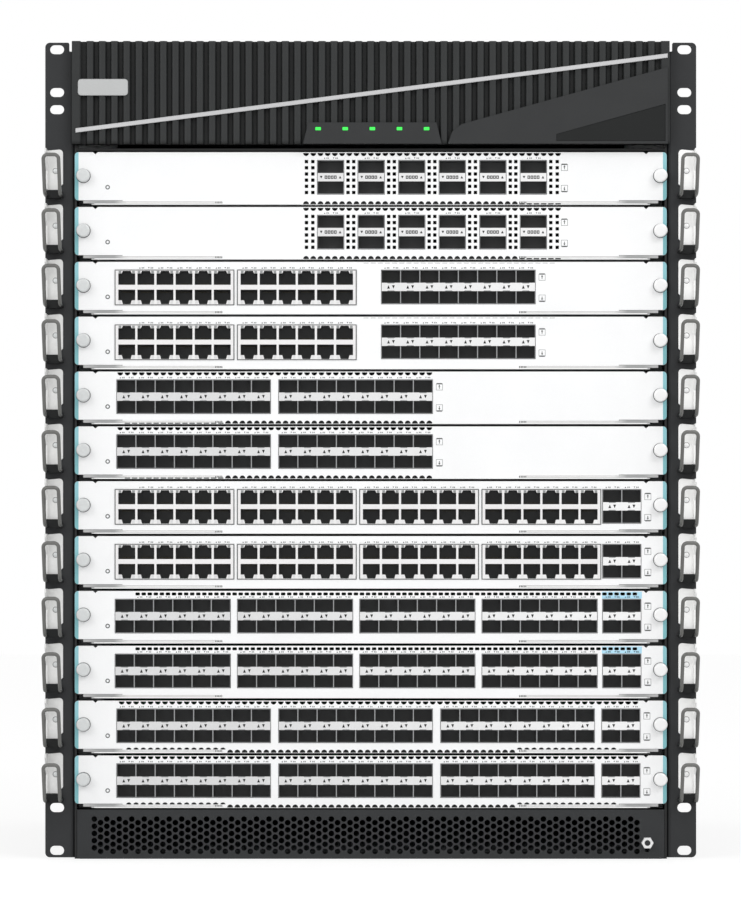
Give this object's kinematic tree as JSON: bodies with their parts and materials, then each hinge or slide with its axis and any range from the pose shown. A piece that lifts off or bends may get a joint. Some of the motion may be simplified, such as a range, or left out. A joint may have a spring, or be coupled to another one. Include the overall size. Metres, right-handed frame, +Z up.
{
  "type": "modular chassis switch",
  "caption": "Rack-mounted modular network switch: steel chassis with ribbed top bezel, sliding line cards with port rows and ejector levers, side cable hooks and a lower air intake.",
  "frame": {"origin": "centre of the base of the overall box", "axes": "+Z up, -Y towards the viewer (card faces), +X to the right seen from the front"},
  "size_m": [0.4826, 0.5174, 0.605],
  "materials": {
    "zinc_sheet": "satin",
    "dark_coat": "textured matt",
    "backplane_green": "solder mask",
    "bezel_plastic": "fine grain",
    "pale_strip": "satin",
    "trim_black": "fine grain",
    "zinc_bracket": "satin",
    "hook_grey": "matt",
    "card_white": "smooth satin",
    "port_dark": "moulded and solder mask",
    "lever_grey": "satin"
  },
  "bodies": {
    "chassis": {"chassis_shell": "zinc_sheet", "left_rack_ear": "dark_coat", "right_rack_ear": "dark_coat", "backplane": "backplane_green", "rear_panel": "zinc_sheet", "top_bezel": "bezel_plastic", "bezel_stripe": "pale_strip", "indicator_panel": "trim_black", "wedge_cover": "trim_black", "intake_panel": "dark_coat", "cable_brackets": "zinc_bracket", "cable_hooks": "hook_grey"},
    "card_01": {"line_card_01": "card_white", "port_board_01": "port_dark"},
    "lever_01_left": {"ejector_lever_01_left": "lever_grey"},
    "lever_01_right": {"ejector_lever_01_right": "lever_grey"},
    "card_02": {"line_card_02": "card_white", "port_board_02": "port_dark"},
    "lever_02_left": {"ejector_lever_02_left": "lever_grey"},
    "lever_02_right": {"ejector_lever_02_right": "lever_grey"},
    "card_03": {"line_card_03": "card_white", "port_board_03": "port_dark"},
    "lever_03_left": {"ejector_lever_03_left": "lever_grey"},
    "lever_03_right": {"ejector_lever_03_right": "lever_grey"},
    "card_04": {"line_card_04": "card_white", "port_board_04": "port_dark"},
    "lever_04_left": {"ejector_lever_04_left": "lever_grey"},
    "lever_04_right": {"ejector_lever_04_right": "lever_grey"},
    "card_05": {"line_card_05": "card_white", "port_board_05": "port_dark"},
    "lever_05_left": {"ejector_lever_05_left": "lever_grey"},
    "lever_05_right": {"ejector_lever_05_right": "lever_grey"},
    "card_06": {"line_card_06": "card_white", "port_board_06": "port_dark"},
    "lever_06_left": {"ejector_lever_06_left": "lever_grey"},
    "lever_06_right": {"ejector_lever_06_right": "lever_grey"},
    "card_07": {"line_card_07": "card_white", "port_board_07": "port_dark"},
    "lever_07_left": {"ejector_lever_07_left": "lever_grey"},
    "lever_07_right": {"ejector_lever_07_right": "lever_grey"},
    "card_08": {"line_card_08": "card_white", "port_board_08": "port_dark"},
    "lever_08_left": {"ejector_lever_08_left": "lever_grey"},
    "lever_08_right": {"ejector_lever_08_right": "lever_grey"},
    "card_09": {"line_card_09": "card_white", "port_board_09": "port_dark"},
    "lever_09_left": {"ejector_lever_09_left": "lever_grey"},
    "lever_09_right": {"ejector_lever_09_right": "lever_grey"},
    "card_10": {"line_card_10": "card_white", "port_board_10": "port_dark"},
    "lever_10_left": {"ejector_lever_10_left": "lever_grey"},
    "lever_10_right": {"ejector_lever_10_right": "lever_grey"},
    "card_11": {"line_card_11": "card_white", "port_board_11": "port_dark"},
    "lever_11_left": {"ejector_lever_11_left": "lever_grey"},
    "lever_11_right": {"ejector_lever_11_right": "lever_grey"},
    "card_12": {"line_card_12": "card_white", "port_board_12": "port_dark"},
    "lever_12_left": {"ejector_lever_12_left": "lever_grey"},
    "lever_12_right": {"ejector_lever_12_right": "lever_grey"}
  },
  "joints": [
    {"name": "card_01_slide", "type": "slide", "parent": "chassis", "child": "card_01", "axis": [0, -1, 0], "range_m": [0, 0.38]},
    {"name": "lever_01_left_hinge", "type": "hinge", "parent": "card_01", "child": "lever_01_left", "pos_m": [-0.204, -0.2143, 0.48679], "axis": [0, 0, -1], "range_deg": [0, 65]},
    {"name": "lever_01_right_hinge", "type": "hinge", "parent": "card_01", "child": "lever_01_right", "pos_m": [0.204, -0.2143, 0.48679], "axis": [0, 0, 1], "range_deg": [0, 65]},
    {"name": "card_02_slide", "type": "slide", "parent": "chassis", "child": "card_02", "axis": [0, -1, 0], "range_m": [0, 0.38]},
    {"name": "lever_02_left_hinge", "type": "hinge", "parent": "card_02", "child": "lever_02_left", "pos_m": [-0.204, -0.2143, 0.44615], "axis": [0, 0, -1], "range_deg": [0, 65]},
    {"name": "lever_02_right_hinge", "type": "hinge", "parent": "card_02", "child": "lever_02_right", "pos_m": [0.204, -0.2143, 0.44615], "axis": [0, 0, 1], "range_deg": [0, 65]},
    {"name": "card_03_slide", "type": "slide", "parent": "chassis", "child": "card_03", "axis": [0, -1, 0], "range_m": [0, 0.38]},
    {"name": "lever_03_left_hinge", "type": "hinge", "parent": "card_03", "child": "lever_03_left", "pos_m": [-0.204, -0.2143, 0.40551], "axis": [0, 0, -1], "range_deg": [0, 65]},
    {"name": "lever_03_right_hinge", "type": "hinge", "parent": "card_03", "child": "lever_03_right", "pos_m": [0.204, -0.2143, 0.40551], "axis": [0, 0, 1], "range_deg": [0, 65]},
    {"name": "card_04_slide", "type": "slide", "parent": "chassis", "child": "card_04", "axis": [0, -1, 0], "range_m": [0, 0.38]},
    {"name": "lever_04_left_hinge", "type": "hinge", "parent": "card_04", "child": "lever_04_left", "pos_m": [-0.204, -0.2143, 0.36487], "axis": [0, 0, -1], "range_deg": [0, 65]},
    {"name": "lever_04_right_hinge", "type": "hinge", "parent": "card_04", "child": "lever_04_right", "pos_m": [0.204, -0.2143, 0.36487], "axis": [0, 0, 1], "range_deg": [0, 65]},
    {"name": "card_05_slide", "type": "slide", "parent": "chassis", "child": "card_05", "axis": [0, -1, 0], "range_m": [0, 0.38]},
    {"name": "lever_05_left_hinge", "type": "hinge", "parent": "card_05", "child": "lever_05_left", "pos_m": [-0.204, -0.2143, 0.32423], "axis": [0, 0, -1], "range_deg": [0, 65]},
    {"name": "lever_05_right_hinge", "type": "hinge", "parent": "card_05", "child": "lever_05_right", "pos_m": [0.204, -0.2143, 0.32423], "axis": [0, 0, 1], "range_deg": [0, 65]},
    {"name": "card_06_slide", "type": "slide", "parent": "chassis", "child": "card_06", "axis": [0, -1, 0], "range_m": [0, 0.38]},
    {"name": "lever_06_left_hinge", "type": "hinge", "parent": "card_06", "child": "lever_06_left", "pos_m": [-0.204, -0.2143, 0.28359], "axis": [0, 0, -1], "range_deg": [0, 65]},
    {"name": "lever_06_right_hinge", "type": "hinge", "parent": "card_06", "child": "lever_06_right", "pos_m": [0.204, -0.2143, 0.28359], "axis": [0, 0, 1], "range_deg": [0, 65]},
    {"name": "card_07_slide", "type": "slide", "parent": "chassis", "child": "card_07", "axis": [0, -1, 0], "range_m": [0, 0.38]},
    {"name": "lever_07_left_hinge", "type": "hinge", "parent": "card_07", "child": "lever_07_left", "pos_m": [-0.204, -0.2143, 0.24295], "axis": [0, 0, -1], "range_deg": [0, 65]},
    {"name": "lever_07_right_hinge", "type": "hinge", "parent": "card_07", "child": "lever_07_right", "pos_m": [0.204, -0.2143, 0.24295], "axis": [0, 0, 1], "range_deg": [0, 65]},
    {"name": "card_08_slide", "type": "slide", "parent": "chassis", "child": "card_08", "axis": [0, -1, 0], "range_m": [0, 0.38]},
    {"name": "lever_08_left_hinge", "type": "hinge", "parent": "card_08", "child": "lever_08_left", "pos_m": [-0.204, -0.2143, 0.20231], "axis": [0, 0, -1], "range_deg": [0, 65]},
    {"name": "lever_08_right_hinge", "type": "hinge", "parent": "card_08", "child": "lever_08_right", "pos_m": [0.204, -0.2143, 0.20231], "axis": [0, 0, 1], "range_deg": [0, 65]},
    {"name": "card_09_slide", "type": "slide", "parent": "chassis", "child": "card_09", "axis": [0, -1, 0], "range_m": [0, 0.38]},
    {"name": "lever_09_left_hinge", "type": "hinge", "parent": "card_09", "child": "lever_09_left", "pos_m": [-0.204, -0.2143, 0.16167], "axis": [0, 0, -1], "range_deg": [0, 65]},
    {"name": "lever_09_right_hinge", "type": "hinge", "parent": "card_09", "child": "lever_09_right", "pos_m": [0.204, -0.2143, 0.16167], "axis": [0, 0, 1], "range_deg": [0, 65]},
    {"name": "card_10_slide", "type": "slide", "parent": "chassis", "child": "card_10", "axis": [0, -1, 0], "range_m": [0, 0.38]},
    {"name": "lever_10_left_hinge", "type": "hinge", "parent": "card_10", "child": "lever_10_left", "pos_m": [-0.204, -0.2143, 0.12103], "axis": [0, 0, -1], "range_deg": [0, 65]},
    {"name": "lever_10_right_hinge", "type": "hinge", "parent": "card_10", "child": "lever_10_right", "pos_m": [0.204, -0.2143, 0.12103], "axis": [0, 0, 1], "range_deg": [0, 65]},
    {"name": "card_11_slide", "type": "slide", "parent": "chassis", "child": "card_11", "axis": [0, -1, 0], "range_m": [0, 0.38]},
    {"name": "lever_11_left_hinge", "type": "hinge", "parent": "card_11", "child": "lever_11_left", "pos_m": [-0.204, -0.2143, 0.08039], "axis": [0, 0, -1], "range_deg": [0, 65]},
    {"name": "lever_11_right_hinge", "type": "hinge", "parent": "card_11", "child": "lever_11_right", "pos_m": [0.204, -0.2143, 0.08039], "axis": [0, 0, 1], "range_deg": [0, 65]},
    {"name": "card_12_slide", "type": "slide", "parent": "chassis", "child": "card_12", "axis": [0, -1, 0], "range_m": [0, 0.38]},
    {"name": "lever_12_left_hinge", "type": "hinge", "parent": "card_12", "child": "lever_12_left", "pos_m": [-0.204, -0.2143, 0.03975], "axis": [0, 0, -1], "range_deg": [0, 65]},
    {"name": "lever_12_right_hinge", "type": "hinge", "parent": "card_12", "child": "lever_12_right", "pos_m": [0.204, -0.2143, 0.03975], "axis": [0, 0, 1], "range_deg": [0, 65]}
  ]
}
